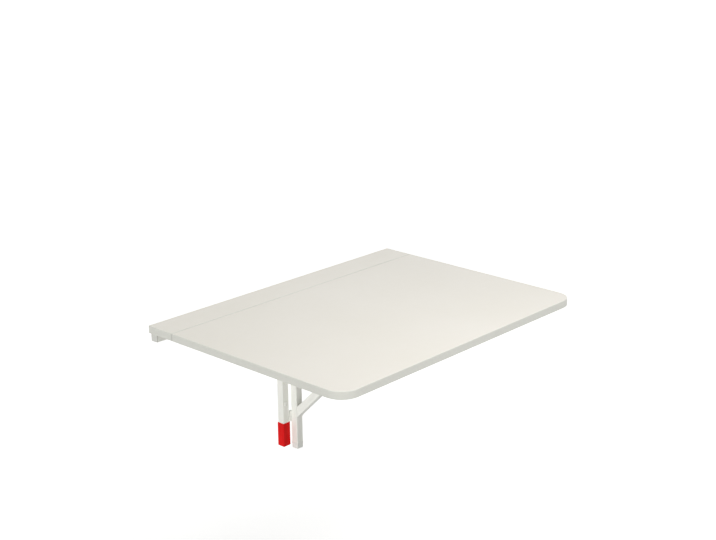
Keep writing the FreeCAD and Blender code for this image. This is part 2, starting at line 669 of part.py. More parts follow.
def build():
    """Every node's shape, by name."""
    tab_fixings = tab_screws()
    base_fixings = hinge_screws(1)
    flap_fixings = hinge_screws(-1)
    rest_fixings = rest_screws()
    shapes = {
        "shelf_board": shelf_board(tab_fixings + base_fixings),
        "shelf_edge_bands": shelf_edge_bands(),
        "wall_rail": wall_rail(),
        "rail_end_plug_left": rail_end_plug(-1),
        "rail_end_plug_right": rail_end_plug(1),
        "rail_hole_caps": rail_hole_caps(),
        "wall_post": wall_post(),
        "post_hole_caps": post_hole_caps(),
        "post_end_cap": post_end_cap(),
        "tab_screws": group(tab_fixings),
        "hinge_base_screws": group(base_fixings),
        "leaf_board": leaf_board(flap_fixings + rest_fixings),
        "leaf_edge_bands": leaf_edge_bands(),
        "hinge_flap_screws": group(flap_fixings),
        "rest_block": rest_block(rest_fixings),
        "rest_block_screws": group(rest_fixings),
        "gate_post": gate_post(),
        "gate_arm": gate_arm(),
        "gate_brace": gate_brace(),
        "gate_post_cap": gate_post_cap(),
        "gate_post_foot": gate_post_foot(),
        "gate_arm_cap": gate_arm_cap(),
    }
    for name, x in TAB_PLACES.items():
        shapes["shelf_tab_" + name] = shelf_tab(x, tab_fixings)
    for name, x in HINGE_PLACES.items():
        shapes["leaf_hinge_base_" + name] = hinge_base(x, base_fixings)
        shapes["leaf_hinge_flap_" + name] = hinge_flap(x, flap_fixings)
        shapes["leaf_hinge_pin_" + name] = hinge_pin(x)
    for name, bottom in GATE_HINGES.items():
        shapes["gate_hinge_base_" + name] = gate_hinge_base(bottom)
        shapes["gate_hinge_sleeve_" + name] = gate_hinge_sleeve(bottom)
        shapes["gate_hinge_pin_" + name] = gate_hinge_pin(bottom)
        shapes["gate_hinge_washer_" + name] = gate_hinge_washer(bottom)
    return shapes


def write(shapes):
    """One STEP file per node."""
    os.makedirs("parts", exist_ok=True)
    for name, shape in shapes.items():
        shape.exportStep("parts/" + name + ".step")
        print(name, len(shape.Solids), "solid(s), valid:", shape.isValid(), "volume", round(shape.Volume, 1))


write(build())
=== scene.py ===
"""Finishes, welds, screws and stage of the wall mounted drop leaf table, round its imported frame.

Metres, in the part's own frame: the wall is the plane y = 0, X runs along it, Z is up and the
table stands out towards -Y. Every piece stays at the origin, with its place in its mesh.
"""

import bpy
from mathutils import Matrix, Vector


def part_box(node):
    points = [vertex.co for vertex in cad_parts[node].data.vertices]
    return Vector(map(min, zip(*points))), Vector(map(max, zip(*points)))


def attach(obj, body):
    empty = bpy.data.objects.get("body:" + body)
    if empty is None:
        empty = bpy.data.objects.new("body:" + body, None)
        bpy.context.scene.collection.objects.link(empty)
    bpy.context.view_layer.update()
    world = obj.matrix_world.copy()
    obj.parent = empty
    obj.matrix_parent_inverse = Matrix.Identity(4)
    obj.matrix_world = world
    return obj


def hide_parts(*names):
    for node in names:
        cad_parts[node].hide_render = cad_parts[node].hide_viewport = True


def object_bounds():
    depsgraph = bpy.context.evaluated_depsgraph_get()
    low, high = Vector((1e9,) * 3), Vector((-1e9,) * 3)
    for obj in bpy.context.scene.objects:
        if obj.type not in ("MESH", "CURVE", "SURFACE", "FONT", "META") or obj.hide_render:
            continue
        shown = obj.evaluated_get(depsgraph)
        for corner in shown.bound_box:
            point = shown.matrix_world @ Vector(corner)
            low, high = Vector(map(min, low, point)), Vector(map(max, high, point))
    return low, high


bl_info = {
    "name": "Wall Drop Leaf Table",
    "version": (1, 0, 0),
    "blender": (4, 5, 0),
    "location": "View3D > Sidebar > Drop Leaf Table",
    "description": "Finishes, welds, screws and a plain stage for a wall mounted drop leaf table",
    "category": "Object",
}

import math
import random

import bmesh
import bpy
from bpy.props import FloatProperty, FloatVectorProperty, IntProperty, PointerProperty
from mathutils import Matrix, Vector

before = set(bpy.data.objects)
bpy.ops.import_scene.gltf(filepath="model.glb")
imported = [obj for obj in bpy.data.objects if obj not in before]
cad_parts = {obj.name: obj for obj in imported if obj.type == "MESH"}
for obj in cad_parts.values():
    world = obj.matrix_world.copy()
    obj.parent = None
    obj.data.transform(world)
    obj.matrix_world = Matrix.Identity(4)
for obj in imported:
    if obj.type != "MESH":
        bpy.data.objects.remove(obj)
CAD_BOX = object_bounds()

# The CAD nodes, by finish

BOARDS = ("shelf_board", "leaf_board")
BANDS = ("shelf_edge_bands", "leaf_edge_bands")
TABS = ("shelf_tab_far_left", "shelf_tab_left", "shelf_tab_right", "shelf_tab_far_right")
GATE_HINGE_BASES = ("gate_hinge_base_upper", "gate_hinge_base_lower")
GATE_HINGE_SLEEVES = ("gate_hinge_sleeve_upper", "gate_hinge_sleeve_lower")
WALL_STEEL = ("wall_rail", "wall_post") + GATE_HINGE_BASES + TABS
GATE_STEEL = ("gate_post", "gate_arm", "gate_brace") + GATE_HINGE_SLEEVES
RAIL_PLUGS = ("rail_end_plug_left", "rail_end_plug_right")
WHITE_PLASTICS = (
    "gate_post_cap", "gate_post_foot", "gate_arm_cap", "rest_block",
    "rail_hole_caps", "post_hole_caps",
    "gate_hinge_washer_upper", "gate_hinge_washer_lower",
)
HINGE_PLACES = ("left", "middle", "right")
HINGE_PLATES = tuple(
    f"leaf_hinge_{half}_{place}" for half in ("base", "flap") for place in HINGE_PLACES
)
LEAF_HINGE_PINS = tuple(f"leaf_hinge_pin_{place}" for place in HINGE_PLACES)
PINS = LEAF_HINGE_PINS + ("gate_hinge_pin_upper", "gate_hinge_pin_lower")

# The plain screws that are replaced, each with the body it rides on
SCREWS = {
    "tab_screws": "wall_frame",
    "hinge_base_screws": "wall_frame",
    "hinge_flap_screws": "leaf",
    "rest_block_screws": "leaf",
}

MERGE_DISTANCE = 1e-6
CREASE_ANGLE = math.radians(35)


def color_property(name, description, default):
    """A plain colour that the panel shows."""
    return FloatVectorProperty(
        name=name, description=description, default=default,
        subtype="COLOR", size=3, min=0.0, max=1.0,
    )


def length_property(name, description, default):
    """A length in metres that the panel shows."""
    return FloatProperty(
        name=name, description=description, default=default,
        unit="LENGTH", precision=5, min=0.0,
    )


class FinishSettings(bpy.types.PropertyGroup):
    """Colours of the table's finishes."""

    melamine: color_property("Melamine", "Off-white face of both boards", (0.84, 0.81, 0.745))
    chipboard: color_property("Chipboard", "Bare core on the shelf's wall edge", (0.42, 0.27, 0.14))
    # The band's colour is darker than the melamine it matches: painted shade on the boards' edges
    edge_band: color_property("Edge band", "Band round the boards", (0.67, 0.67, 0.625))
    paint: color_property("Paint", "Powder coat on the steel", (0.91, 0.91, 0.87))
    white_plastic: color_property(
        "White plastic", "Gate's plugs, snap caps, washers and rest block", (0.84, 0.84, 0.81)
    )
    # Darker grey than the other plastics: painted shade under the board's overhang, on the rail's end
    # plugs
    grey_plastic: color_property("Grey plastic", "Plugs in the rail's ends", (0.64, 0.64, 0.61))
    red_plastic: color_property("Red plastic", "End cap of the wall post", (0.78, 0.003, 0.004))
    zinc: color_property("Zinc", "Plated hinges, pins and screws", (0.66, 0.66, 0.65))


class FittingSettings(bpy.types.PropertyGroup):
    """Sizes of the welds and screws."""

    bead_radius: length_property("Bead radius", "Radius of a weld bead", 0.0019)
    bead_ripple: length_property("Bead ripple", "Length of one ripple of a weld bead", 0.0016)
    screw_recess: length_property("Recess width", "Width across a screw's cross recess", 0.0038)
    screw_recess_depth: length_property("Recess depth", "Depth of a screw's cross recess", 0.0011)
    seed: IntProperty(name="Seed", description="Chooses how the screws are turned", default=7, min=0)


class StageSettings(bpy.types.PropertyGroup):
    """Camera, floor and lamps."""

    camera_yaw: FloatProperty(
        name="Camera yaw", description="Turn from +Y towards +X",
        subtype="ANGLE", default=math.radians(48.5817),
    )
    camera_pitch: FloatProperty(
        name="Camera pitch", description="Angle below the horizon",
        subtype="ANGLE", default=math.radians(17.7435),
    )
    camera_place: FloatVectorProperty(
        name="Camera place", description="Where the camera stands",
        subtype="XYZ", size=3, default=(-2.1389, -2.2783, 1.0580),
    )
    focal_length: FloatProperty(
        name="Focal length", description="Lens, in millimetres", default=67.21, min=1.0
    )
    frame_shift: FloatProperty(
        name="Shift", description="Sideways shift of the frame", default=-0.0559
    )
    table_height: length_property("Table height", "Height of the table's top above the floor", 0.75)
    floor_color: color_property("Floor", "Colour of the floor", (0.55, 0.55, 0.54))
    floor_lift: FloatProperty(
        name="Floor lift", description="Light on the floor that only the camera and reflections see",
        default=0.72, min=0.0,
    )
    ambient: FloatProperty(
        name="Ambient", description="Strength of the light from all round", default=0.28, min=0.0
    )


def finish_settings():
    return bpy.context.scene.drop_leaf_finish


def fitting_settings():
    return bpy.context.scene.drop_leaf_fittings


def stage_settings():
    return bpy.context.scene.drop_leaf_stage


# Materials

# Added to a finish's name, which the frame's own plain material has already
FINISH = "_finish"
# Where most of a soft noise lies, between 0 and 1
NOISE_LOW = 0.3
NOISE_HIGH = 0.7


class NodeMaker:
    """The nodes of a material or a world, added one at a time."""

    def __init__(self, owner):
        owner.use_nodes = True
        self.nodes = owner.node_tree.nodes
        self.links = owner.node_tree.links

    def add(self, kind, inputs=None, **settings):
        """A node with its settings, and its inputs set to a value or linked to a socket."""
        node = self.nodes.new(kind)
        for key, value in settings.items():
            setattr(node, key, value)
        for key, value in (inputs or {}).items():
            self.feed(node.inputs[key], value)
        return node

    def feed(self, socket, value):
        """Links an input to another node's socket, or sets it to a plain value."""
        if isinstance(value, bpy.types.NodeSocket):
            self.links.new(value, socket)
        else:
            socket.default_value = value

    def ranged(self, value, low, high, to_low=0.0, to_high=1.0):
        """A value mapped from one range to another, held at its ends."""
        inputs = {
            "Value": value, "From Min": low, "From Max": high, "To Min": to_low, "To Max": to_high
        }
        return self.add("ShaderNodeMapRange", inputs).outputs["Result"]

    def maths(self, operation, first, second=0.0):
        """The result of one operation on one or two values."""
        node = self.add("ShaderNodeMath", operation=operation)
        self.feed(node.inputs[0], first)
        self.feed(node.inputs[1], second)
        return node.outputs[0]

    def seen(self):
        """1 where the camera, a reflection or a clear piece looks, 0 where light only passes."""
        path = self.add("ShaderNodeLightPath").outputs
        through = self.maths("MAXIMUM", path["Is Glossy Ray"], path["Is Transmission Ray"])
        return self.maths("MAXIMUM", path["Is Camera Ray"], through)


class Recipe(NodeMaker):
    """A material's nodes, added one at a time in front of its shader."""

    def __init__(self, name):
        self.material = bpy.data.materials.new(name + FINISH)
        super().__init__(self.material)
        self.shader = self.nodes["Principled BSDF"]
        self.place = self.add("ShaderNodeTexCoord").outputs["Object"]
        self.normal = None

    def stretched(self, scale):
        """Object coordinates, scaled unevenly to draw a pattern out."""
        return self.add("ShaderNodeMapping", {"Vector": self.place, "Scale": scale}).outputs["Vector"]

    def noise(self, scale, detail, roughness=0.5, vector=None):
        """Soft noise from 0 to 1, its scale in cells per metre."""
        inputs = {
            "Vector": vector or self.place, "Scale": scale, "Detail": detail, "Roughness": roughness
        }
        return self.add("ShaderNodeTexNoise", inputs).outputs["Fac"]

    def cloud(self, scale, detail, to_low=0.0, to_high=1.0, vector=None):
        """Soft noise, spread over the whole of a range."""
        noise = self.noise(scale, detail, vector=vector)
        return self.ranged(noise, NOISE_LOW, NOISE_HIGH, to_low, to_high)

    def flakes(self, scale):
        """Grains of even size, each with a shade of its own."""
        inputs = {"Vector": self.place, "Scale": scale}
        return self.add("ShaderNodeTexVoronoi", inputs).outputs["Color"]

    def coordinate(self, axis):
        """One of the object's coordinates, in metres."""
        return self.add("ShaderNodeSeparateXYZ", {"Vector": self.place}).outputs[axis]

    def off_middle(self, node):
        """How far a point is from a CAD node's middle height, and half that node's height."""
        low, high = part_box(node)
        offset = self.maths("SUBTRACT", self.coordinate("Z"), (low.z + high.z) / 2)
        return self.maths("ABSOLUTE", offset), (high.z - low.z) / 2

    def mixed(self, factor, first, second):
        """A colour between two others."""
        node = self.add("ShaderNodeMix", data_type="RGBA")
        sockets = {socket.identifier: socket for socket in (*node.inputs, *node.outputs)}
        self.feed(sockets["Factor_Float"], factor)
        self.feed(sockets["A_Color"], first)
        self.feed(sockets["B_Color"], second)
        return sockets["Result_Color"]

    def tints(self, factor, color, first, second):
        """A colour between two tints of itself."""
        return self.mixed(factor, tinted(color, first), tinted(color, second))

    def bump(self, height, depth):
        """Relief of a given depth in metres, laid over what is there already."""
        inputs = {"Height": height, "Distance": depth}
        if self.normal:
            inputs["Normal"] = self.normal
        self.normal = self.add("ShaderNodeBump", inputs).outputs["Normal"]
        self.feed(self.shader.inputs["Normal"], self.normal)

    def set(self, **inputs):
        """Sets or links the shader's inputs, named with underscores."""
        for key, value in inputs.items():
            self.feed(self.shader.inputs[key.replace("_", " ")], value)


def opaque(color):
    """A colour with its alpha."""
    return (*color, 1.0)


def tinted(color, factors):
    """A colour with each channel scaled."""
    return opaque(min(1.0, channel * factor) for channel, factor in zip(color, factors))


# How thick the melamine is over the core, and how near to the wall the core lies bare
MELAMINE_SKIN = 0.0004
BARE_DEPTH = 0.0002


def melamine_material():
    """Off-white melamine with a fine pearl texture, over a core that shows at the wall edge."""
    finish = finish_settings()
    recipe = Recipe("melamine_board")
    cloud = recipe.cloud(3.5, 3.0)
    face = recipe.tints(cloud, finish.melamine, (0.985, 0.985, 0.975), (1.01, 1.01, 1.015))
    fleck = recipe.ranged(recipe.noise(900.0, 1.0), 0.60, 0.75, 0.0, 0.35)
    face = recipe.mixed(fleck, face, tinted(finish.melamine, (0.96, 0.96, 0.955)))
    flake = recipe.maths("MULTIPLY", recipe.flakes(330.0), 0.6)
    grain = recipe.maths("MULTIPLY", recipe.noise(1400.0, 4.0), 0.5)
    shade = recipe.maths("ADD", flake, grain)
    core = recipe.tints(shade, finish.chipboard, (0.6, 0.55, 0.5), (1.6, 1.7, 1.8))
    from_middle, half = recipe.off_middle("shelf_board")
    inside = recipe.maths("LESS_THAN", from_middle, half - MELAMINE_SKIN)
    at_wall = recipe.maths("GREATER_THAN", recipe.coordinate("Y"), -BARE_DEPTH)
    bare = recipe.maths("MULTIPLY", inside, at_wall)
    recipe.set(Base_Color=recipe.mixed(bare, face, core))
    dull = recipe.maths("MULTIPLY", bare, 0.5)
    recipe.set(Roughness=recipe.maths("ADD", recipe.cloud(60.0, 3.0, 0.36, 0.46), dull))
    recipe.bump(recipe.noise(700.0, 3.0, 0.6), depth=0.00004)
    recipe.bump(recipe.maths("MULTIPLY", shade, bare), depth=0.0004)
    return recipe.material


# Where the painted highlight along a band's rounded long edge begins and where it is full, from the
# board's face
HIGHLIGHT_BEGINS = 0.0009
HIGHLIGHT_FULL = 0.0003


def edge_band_material():
    """Satin band, with a painted highlight: paler along its rounded long edges."""
    finish = finish_settings()
    recipe = Recipe("edge_band")
    from_middle, half = recipe.off_middle("leaf_edge_bands")
    # Painted highlight: the band turns paler towards its top and bottom edges, where their rounding
    # catches the light
    edge_highlight = recipe.ranged(from_middle, half - HIGHLIGHT_BEGINS, half - HIGHLIGHT_FULL, 0.0, 0.55)
    streak = recipe.cloud(90.0, 3.0, vector=recipe.stretched((1.0, 1.0, 9.0)))
    plain = recipe.tints(streak, finish.edge_band, (0.97, 0.97, 0.97), (1.02, 1.02, 1.02))
    # The paler tint is the colour of the painted highlight
    pale = tinted(finish.edge_band, (1.25, 1.24, 1.22))
    recipe.set(
        Base_Color=recipe.mixed(edge_highlight, plain, pale),
        Roughness=recipe.cloud(150.0, 2.0, 0.34, 0.44),
    )
    recipe.bump(recipe.noise(1100.0, 2.0), depth=0.00003)
    return recipe.material


def paint_material():
    """White powder coat with orange peel."""
    finish = finish_settings()
    recipe = Recipe("white_paint")
    cloud = recipe.cloud(18.0, 4.0)
    coat = recipe.tints(cloud, finish.paint, (0.975, 0.975, 0.97), (1.01, 1.01, 1.01))
    speck = recipe.ranged(recipe.noise(1500.0, 1.0), 0.66, 0.72, 0.0, 0.3)
    recipe.set(
        Base_Color=recipe.mixed(speck, coat, tinted(finish.paint, (0.9, 0.9, 0.89))),
        Roughness=recipe.cloud(220.0, 2.0, 0.38, 0.48),
        Specular_IOR_Level=0.35,
    )
    recipe.bump(recipe.noise(420.0, 2.0, 0.4), depth=0.00012)
    recipe.bump(recipe.noise(1800.0, 2.0), depth=0.00002)
    return recipe.material


def plastic_material(name, color):
    """Moulded plastic with a spark-eroded face."""
    recipe = Recipe(name)
    recipe.set(
        Base_Color=recipe.tints(
            recipe.cloud(45.0, 3.0), color, (0.97, 0.97, 0.965), (1.01, 1.01, 1.01)
        ),
        Roughness=recipe.cloud(300.0, 2.0, 0.42, 0.52),
    )
    recipe.bump(recipe.noise(2200.0, 3.0, 0.6), depth=0.00004)
    return recipe.material


def red_plastic_material():
    """Glossy red plastic with faint flow marks."""
    recipe = Recipe("red_plastic")
    flow = recipe.cloud(55.0, 3.0, vector=recipe.stretched((1.0, 1.0, 0.25)))
    color = finish_settings().red_plastic
    recipe.set(
        Base_Color=recipe.tints(flow, color, (0.9, 0.8, 0.8), (1.06, 1.2, 1.2)),
        Roughness=recipe.cloud(130.0, 2.0, 0.14, 0.22),
        Specular_IOR_Level=0.08,
    )
    recipe.bump(recipe.noise(160.0, 2.0), depth=0.00006)
    return recipe.material


def zinc_material():
    """Bright zinc plate with rolling lines and a faint passivation tint."""
    recipe = Recipe("zinc_steel")
    tint = recipe.ranged(recipe.noise(120.0, 3.0), 0.35, 0.65)
    line = recipe.noise(900.0, 3.0, vector=recipe.stretched((0.04, 1.0, 1.0)))
    color = finish_settings().zinc
    recipe.set(
        Base_Color=recipe.tints(tint, color, (1.03, 1.0, 0.90), (0.95, 0.99, 1.06)),
        Metallic=1.0,
        Roughness=recipe.ranged(line, NOISE_LOW, NOISE_HIGH, 0.24, 0.40),
    )
    recipe.bump(line, depth=0.00002)
    return recipe.material


def material_named(name):
    """A finish that an earlier operator made."""
    return bpy.data.materials[name + FINISH]


def dress(nodes, material):
    """Gives CAD nodes a material in place of their plain one."""
    for name in nodes:
        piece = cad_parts[name]
        if not piece.material_slots:
            piece.data.materials.append(material)
        for slot in piece.material_slots:
            slot.material = material


# Meshes


def placed(name, data):
    """An object of some data, in the scene."""
    made = bpy.data.objects.new(name, data)
    bpy.context.scene.collection.objects.link(made)
    return made


def put_in_order(mesh):
    """Sorts the edges and faces by their vertices, so that each run makes the same mesh."""
    mesh.verts.index_update()
    count = len(mesh.verts)

    def order(element):
        indices = sorted(v.index for v in element.verts)
        return (indices[0] * count + indices[1]) * count + indices[-1]

    mesh.edges.sort(key=order)
    mesh.faces.sort(key=order)


def finished_piece(name, mesh, slot, body):
    """Makes an object of a bmesh, in its finish, and rides it on its body."""
    bmesh.ops.recalc_face_normals(mesh, faces=mesh.faces)
    put_in_order(mesh)
    data = bpy.data.meshes.new(name)
    mesh.to_mesh(data)
    mesh.free()
    data.shade_smooth()
    data.set_sharp_from_angle(angle=CREASE_ANGLE)
    data.materials.append(material_named(slot))
    piece = placed(name, data)
    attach(piece, body)
    return piece


def solids_of(node):
    """The lowest and highest corner of each separate solid of a CAD node."""
    mesh = bmesh.new()
    mesh.from_mesh(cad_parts[node].data)
    bmesh.ops.remove_doubles(mesh, verts=mesh.verts, dist=MERGE_DISTANCE)
    waiting = set(mesh.verts)
    found = []
    while waiting:
        solid = set()
        reached = [waiting.pop()]
        while reached:
            vert = reached.pop()
            solid.add(vert)
            near = {e.other_vert(vert) for e in vert.link_edges} & waiting
            waiting -= near
            reached.extend(near)
        low = Vector(min(v.co[axis] for v in solid) for axis in range(3))
        high = Vector(max(v.co[axis] for v in solid) for axis in range(3))
        found.append((low, high))
    mesh.free()
    return sorted(found, key=lambda corners: tuple(corners[0]))


def extrude_loop(mesh, edges, rise, scale):
    """Draws a level loop of edges up by a rise and scales it about its own centre."""
    made = bmesh.ops.extrude_edge_only(mesh, edges=edges)["geom"]
    verts = [g for g in made if isinstance(g, bmesh.types.BMVert)]
    middle = sum((v.co for v in verts), Vector()) / len(verts)
    to_middle = Matrix.Translation(-middle)
    bmesh.ops.scale(mesh, verts=verts, vec=Vector((scale, scale, 1.0)), space=to_middle)
    bmesh.ops.translate(mesh, verts=verts, vec=Vector((0.0, 0.0, rise)))
    return [g for g in made if isinstance(g, bmesh.types.BMEdge)]


def loop_edges(verts):
    """The edges between the vertices of one loop."""
    around = dict.fromkeys(e for v in verts for e in v.link_edges)
    return [e for e in around if all(v in verts for v in e.verts)]


def absorb(mesh, part):
    """Adds one bmesh to another and frees it."""
    carrier = bpy.data.meshes.new("carrier")
    part.to_mesh(carrier)
    part.free()
    mesh.from_mesh(carrier)
    bpy.data.meshes.remove(carrier)


HEAD_SEGMENTS = 24
RECESS_CORNERS = 12
# Half the angle of a wing of the cross, and the recess's floor as a part of its mouth
RECESS_WING = math.radians(15)
RECESS_FLOOR = 0.62
# Heights of a screw's parts, in head radii: what head and point take leaves the shank's length
RIM_HEIGHT = 0.06
CONE_HEIGHT = 0.40
POINT_HEIGHT = 0.9
HEAD_AND_POINT = 1.4
# The shank as a part of the head's width, and the point's tip as a part of the shank's
SHANK_WIDTH = 0.54
TIP_WIDTH = 0.12


def screw_mesh(radius, length):
    """One countersunk screw, head down at the origin, with a cross recess in its head."""
    settings = fitting_settings()
    mesh = bmesh.new()
    rim = bmesh.ops.create_circle(mesh, segments=HEAD_SEGMENTS, radius=radius)["verts"]
    cross = bmesh.ops.create_circle(
        mesh, segments=RECESS_CORNERS, radius=settings.screw_recess / 2 / math.cos(RECESS_WING),
        matrix=Matrix.Rotation(RECESS_WING, 4, "Z"),
    )["verts"]
    inner = [v for v in cross if abs(abs(v.co.x) - abs(v.co.y)) < MERGE_DISTANCE]
    inward = math.sin(RECESS_WING) * math.sqrt(2)
    bmesh.ops.scale(mesh, verts=inner, vec=Vector((inward, inward, 1.0)))
    rim_edges = loop_edges(rim)
    cross_edges = loop_edges(cross)
    bmesh.ops.bridge_loops(mesh, edges=rim_edges + cross_edges)
    floor_edges = extrude_loop(mesh, cross_edges, settings.screw_recess_depth, RECESS_FLOOR)
    bmesh.ops.contextual_create(mesh, geom=floor_edges)
    edges = extrude_loop(mesh, rim_edges, radius * RIM_HEIGHT, 1.0)
    edges = extrude_loop(mesh, edges, radius * CONE_HEIGHT, SHANK_WIDTH)
    edges = extrude_loop(mesh, edges, length - radius * HEAD_AND_POINT, 1.0)
    edges = extrude_loop(mesh, edges, radius * POINT_HEIGHT, TIP_WIDTH)
    bmesh.ops.contextual_create(mesh, geom=edges)
    return mesh


BEAD_SIDES = 10
# Widths of a bead between two ripples and at its ends, as parts of a ripple's
BEAD_VALLEY = 0.86
BEAD_TIP = 0.45


def add_bead(mesh, start, end, radius):
    """A rippled bead of weld along a straight joint, tapered at both ends."""
    run = end - start
    steps = 2 * max(2, round(run.length / fitting_settings().bead_ripple))
    ring = bmesh.ops.create_circle(
        mesh, cap_ends=True, segments=BEAD_SIDES, radius=radius * BEAD_TIP,
        matrix=Matrix.Translation(start) @ run.to_track_quat("Z", "X").to_matrix().to_4x4(),
    )["verts"]
    cap = ring[0].link_faces[0]
    width = BEAD_TIP
    for step in range(1, steps + 1):
        on_ripple = step % 2 and 1 < step < steps - 1
        wanted = BEAD_TIP if step == steps else 1.0 if on_ripple else BEAD_VALLEY
        cap = bmesh.ops.extrude_discrete_faces(mesh, faces=[cap])["faces"][0]
        bmesh.ops.translate(mesh, verts=cap.verts, vec=run / steps)
        to_middle = Matrix.Translation(-cap.calc_center_median())
        growth = Vector((wanted / width,) * 3)
        bmesh.ops.scale(mesh, verts=cap.verts, vec=growth, space=to_middle)
        width = wanted


def bead_piece(name, lines, body):
    """Several weld beads as one painted piece."""
    mesh = bmesh.new()
    for start, end in lines:
        add_bead(mesh, Vector(start), Vector(end), fitting_settings().bead_radius)
    open_edges = [e for e in mesh.edges if e.is_boundary]
    bmesh.ops.holes_fill(mesh, edges=open_edges, sides=0)
    return finished_piece(name, mesh, "white_paint", body)


# Where the welds run, as pairs of ends

BRACE_SLOPE = math.radians(45)
# A saddle's bead: how far it is from the middle of its barrel, and short of the barrel's ends
SADDLE_BEAD_OFFSET = 0.003
SADDLE_BEAD_INSET = 0.001


def gate_arm_lines():
    """Both sides and the underside of the arm, where it butts against the gate post."""
    low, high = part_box("gate_arm")
    y = high.y
    sides = [((x, y, low.z), (x, y, high.z)) for x in (low.x, high.x)]
    return sides + [((low.x, y, low.z), (high.x, y, low.z))]


def gate_brace_lines():
    """Round the brace's two slanted cuts, on the gate post and under the arm."""
    low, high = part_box("gate_brace")
    cut = (high.x - low.x) / math.sin(BRACE_SLOPE)
    foot = (low.z, low.z + cut)
    head = (low.y, low.y + cut)
    lines = [((x, high.y, foot[0]), (x, high.y, foot[1])) for x in (low.x, high.x)]
    lines += [((low.x, high.y, z), (high.x, high.y, z)) for z in foot]
    lines += [((x, head[0], high.z), (x, head[1], high.z)) for x in (low.x, high.x)]
    return lines + [((low.x, y, high.z), (high.x, y, high.z)) for y in head]


def tab_lines():
    """Under each tab's back edge, on the rail's front."""
    inset = fitting_settings().bead_radius
    lines = []
    for name in TABS:
        low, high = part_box(name)
        lines.append(((low.x + inset, high.y, low.z), (high.x - inset, high.y, low.z)))
    return lines


def post_head_lines():
    """Both sides of the wall post, where it butts against the rail's underside."""
    low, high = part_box("wall_post")
    inset = 2 * fitting_settings().bead_radius
    return [((x, low.y + inset, high.z), (x, high.y - inset, high.z)) for x in (low.x, high.x)]


def hinge_base_lines():
    """Behind each lower barrel's saddle, on the wall post's side."""
    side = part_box("wall_post")[1].x
    lines = []
    for name in GATE_HINGE_BASES:
        low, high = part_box(name)
        y = (low.y + high.y) / 2 + SADDLE_BEAD_OFFSET
        lines.append(((side, y, low.z + SADDLE_BEAD_INSET), (side, y, high.z - SADDLE_BEAD_INSET)))
    return lines


def hinge_sleeve_lines():
    """Beside each upper barrel's saddle, on the gate post's back."""
    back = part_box("gate_post")[1].y
    lines = []
    for name in GATE_HINGE_SLEEVES:
        low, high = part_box(name)
        x = (low.x + high.x) / 2 + SADDLE_BEAD_OFFSET
        lines.append(((x, back, low.z + SADDLE_BEAD_INSET), (x, back, high.z - SADDLE_BEAD_INSET)))
    return lines


class DROPLEAF_OT_finish_boards(bpy.types.Operator):
    """Gives both boards their melamine face and chipboard core"""

    bl_idname = "drop_leaf.finish_boards"
    bl_label = "Finish Boards"

    def execute(self, context):
        dress(BOARDS, melamine_material())
        return {"FINISHED"}


class DROPLEAF_OT_finish_bands(bpy.types.Operator):
    """Gives the boards' edges their band"""

    bl_idname = "drop_leaf.finish_bands"
    bl_label = "Finish Edge Bands"

    def execute(self, context):
        dress(BANDS, edge_band_material())
        return {"FINISHED"}


class DROPLEAF_OT_finish_steel(bpy.types.Operator):
    """Gives the rail, the posts, the gate, its hinges and the tabs their powder coat"""

    bl_idname = "drop_leaf.finish_steel"
    bl_label = "Finish Steel"

    def execute(self, context):
        dress(WALL_STEEL + GATE_STEEL, paint_material())
        return {"FINISHED"}


class DROPLEAF_OT_finish_plastics(bpy.types.Operator):
    """Gives the plugs, snap caps, washers, rest block and coloured end cap their plastic"""

    bl_idname = "drop_leaf.finish_plastics"
    bl_label = "Finish Plastics"

    def execute(self, context):
        finish = finish_settings()
        dress(WHITE_PLASTICS, plastic_material("white_plastic", finish.white_plastic))
        # The rail's end plugs get the darker grey, painted shade under the board's overhang
        dress(RAIL_PLUGS, plastic_material("grey_plastic", finish.grey_plastic))
        dress(("post_end_cap",), red_plastic_material())
        return {"FINISHED"}


class DROPLEAF_OT_finish_hardware(bpy.types.Operator):
    """Gives the butt hinges and all pins their zinc"""

    bl_idname = "drop_leaf.finish_hardware"
    bl_label = "Finish Hardware"

    def execute(self, context):
        dress(HINGE_PLATES + PINS, zinc_material())
        return {"FINISHED"}


class DROPLEAF_OT_add_screws(bpy.types.Operator):
    """Makes the countersunk screws, each with a cross recess and its own turn"""

    bl_idname = "drop_leaf.add_screws"
    bl_label = "Add Screws"

    def execute(self, context):
        turns = random.Random(fitting_settings().seed)
        for node, body in SCREWS.items():
            mesh = bmesh.new()
            for low, high in solids_of(node):
                screw = screw_mesh((high.x - low.x) / 2, high.z - low.z)
                head = Vector(((low.x + high.x) / 2, (low.y + high.y) / 2, low.z))
                turn = Matrix.Rotation(turns.uniform(0, math.pi), 4, "Z")
                screw.transform(Matrix.Translation(head) @ turn)
                absorb(mesh, screw)
            piece = finished_piece(node + "_driven", mesh, "zinc_steel", body)
            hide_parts(node)
        return {"FINISHED"}


class DROPLEAF_OT_add_welds(bpy.types.Operator):
    """Lays the weld beads of the rail, the posts, the gate and the hinges"""

    bl_idname = "drop_leaf.add_welds"
    bl_label = "Add Welds"

    def execute(self, context):
        bead_piece("gate_arm_weld", gate_arm_lines(), "gate")
        bead_piece("gate_brace_welds", gate_brace_lines(), "gate")
        bead_piece("gate_sleeve_welds", hinge_sleeve_lines(), "gate")
        bead_piece("shelf_tab_welds", tab_lines(), "wall_frame")
        bead_piece("post_head_welds", post_head_lines(), "wall_frame")
        bead_piece("hinge_base_welds", hinge_base_lines(), "wall_frame")
        return {"FINISHED"}


# Stage

SENSOR_WIDTH = 36.0
VIEW_DEPTH = 200.0
FLOOR_HALF = 30.0
WHITE = (1.0, 1.0, 1.0, 1.0)


